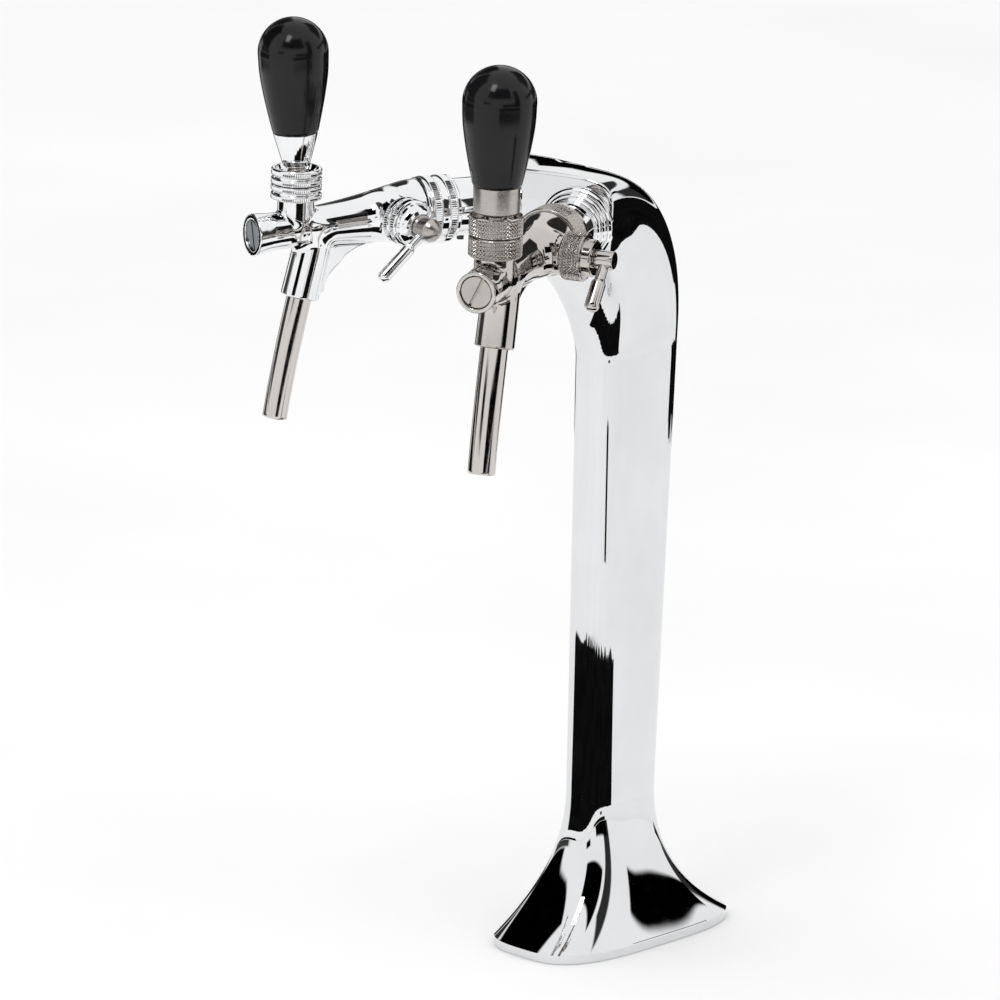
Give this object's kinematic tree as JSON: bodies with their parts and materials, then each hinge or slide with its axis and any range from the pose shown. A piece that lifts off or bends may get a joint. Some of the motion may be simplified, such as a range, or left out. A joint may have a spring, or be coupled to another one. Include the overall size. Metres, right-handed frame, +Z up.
{
  "type": "beer tap tower",
  "caption": "Chromed bent-neck beer tower with a flared foot and two lever taps on its slanted head faces, each with a flow-control lever and a curved spout.",
  "frame": {"origin": "centre of the foot's underside, on the counter", "axes": "+Z up; the spouts point towards -Y; +X is the right-hand tap as seen from the spout side"},
  "size_m": [0.1936, 0.2898, 0.5208],
  "materials": {
    "column_chrome": "mirror polished chrome plating",
    "tap_chrome": "mirror polished chrome plating",
    "polished_steel": "polished stainless steel with knurled rings",
    "satin_steel": "satin turned stainless steel",
    "spout_steel": "polished drawn tube",
    "dark_plug": "dark polished slotted plug",
    "knob_plastic": "glossy black moulding",
    "screw_black": "blackened grub screw",
    "zinc_steel": "zinc plated",
    "brass": "machined",
    "black_rubber": "matt",
    "nylon": "natural nylon",
    "foam": "rigid foam",
    "line_plastic": "food grade line",
    "coolant_copper": "drawn copper tube"
  },
  "bodies": {
    "tower": {"ball_seat_left": "nylon", "ball_seat_right": "nylon", "base_gasket": "black_rubber", "base_ring": "zinc_steel", "base_screws": "zinc_steel", "beer_line_left": "line_plastic", "beer_line_right": "line_plastic", "collar_lower_left": "tap_chrome", "collar_lower_right": "polished_steel", "collar_upper_left": "tap_chrome", "collar_upper_right": "polished_steel", "column_shell": "column_chrome", "control_nut_left": "tap_chrome", "control_nut_right": "polished_steel", "cooling_loop": "coolant_copper", "flange_left": "tap_chrome", "flange_right": "tap_chrome", "foam_core": "foam", "front_plug_left": "dark_plug", "front_plug_right": "satin_steel", "plug_seal_left": "black_rubber", "plug_seal_right": "black_rubber", "retaining_ring_left": "zinc_steel", "retaining_ring_right": "zinc_steel", "ring_nut_left": "tap_chrome", "ring_nut_right": "polished_steel", "ring_seal_left": "black_rubber", "ring_seal_right": "black_rubber", "set_screw_left": "screw_black", "set_screw_right": "screw_black", "shank_left": "brass", "shank_locknut_left": "brass", "shank_locknut_right": "brass", "shank_right": "brass", "sleeve_left": "tap_chrome", "sleeve_right": "tap_chrome", "spout_tube_left": "spout_steel", "spout_tube_right": "spout_steel", "tail_nut_left": "brass", "tail_nut_right": "brass", "tap_body_left": "tap_chrome", "tap_body_right": "polished_steel"},
    "lever_left": {"lever_left": "satin_steel", "ferrule_left": "tap_chrome", "knob_left": "knob_plastic"},
    "piston_left": {"piston_left": "brass", "piston_rings_left": "black_rubber"},
    "control_left": {"control_hub_left": "satin_steel", "control_lever_left": "tap_chrome", "control_plug_left": "satin_steel"},
    "lever_right": {"lever_right": "satin_steel", "ferrule_right": "satin_steel", "knob_right": "knob_plastic"},
    "piston_right": {"piston_right": "brass", "piston_rings_right": "black_rubber"},
    "control_right": {"control_hub_right": "polished_steel", "control_lever_right": "polished_steel", "control_plug_right": "satin_steel"}
  },
  "joints": [
    {"name": "lever_tilt_left", "type": "hinge", "parent": "tower", "child": "lever_left", "pos_m": [-0.0709, -0.18871, 0.4367], "axis": [0.9354, -0.3535, 0], "range_deg": [-5, 17]},
    {"name": "piston_slide_left", "type": "slide", "parent": "tower", "child": "piston_left", "axis": [0.3524, 0.9326, 0.0785], "range_m": [-0.00267, 0.0086]},
    {"name": "flow_control_left", "type": "hinge", "parent": "tower", "child": "control_left", "pos_m": [-0.05358, -0.14287, 0.4125], "axis": [0.9826, -0.1857, 0], "range_deg": [-50, 50]},
    {"name": "lever_tilt_right", "type": "hinge", "parent": "tower", "child": "lever_right", "pos_m": [0.0709, -0.18871, 0.4391], "axis": [0.9354, 0.3535, 0], "range_deg": [-5, 16]},
    {"name": "piston_slide_right", "type": "slide", "parent": "tower", "child": "piston_right", "axis": [-0.3524, 0.9326, 0.0785], "range_m": [-0.00289, 0.0088]},
    {"name": "flow_control_right", "type": "hinge", "parent": "tower", "child": "control_right", "pos_m": [0.05358, -0.14287, 0.4125], "axis": [0.9354, 0.3535, 0], "range_deg": [-50, 50]}
  ],
  "couplings": [
    {"joint": "piston_slide_left", "follows": "lever_tilt_left", "m_per_rad": 0.0283},
    {"joint": "piston_slide_right", "follows": "lever_tilt_right", "m_per_rad": 0.0308}
  ]
}
